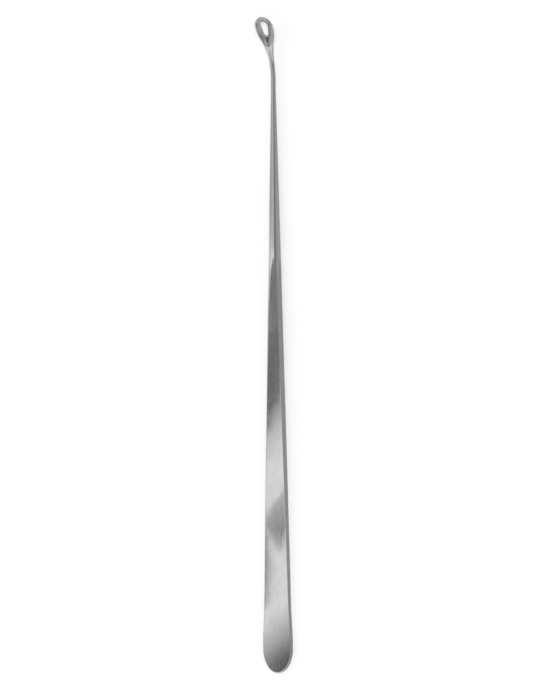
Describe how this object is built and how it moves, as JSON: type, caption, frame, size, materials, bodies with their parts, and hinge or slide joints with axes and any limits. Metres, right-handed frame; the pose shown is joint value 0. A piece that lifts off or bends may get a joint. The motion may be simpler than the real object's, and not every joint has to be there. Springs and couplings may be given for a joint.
{
  "type": "uterine curette",
  "caption": "One-piece steel uterine curette: flat tapered handle with rounded tail, round tapered shank, bent slim neck and a small teardrop bowl with a long window.",
  "frame": {"origin": "middle of the bounding box at the level of the handle's rear flat, on which the curette lies", "axes": "+Y along the instrument from the tail of the handle to the bowl, +Z out of the handle's front flat and the open face of the bowl, +X across the handle"},
  "size_m": [0.0132, 0.2798, 0.015],
  "materials": {
    "steel": "satin-polished stainless surgical steel"
  },
  "bodies": {
    "root": {"curette": "steel"}
  },
  "joints": []
}
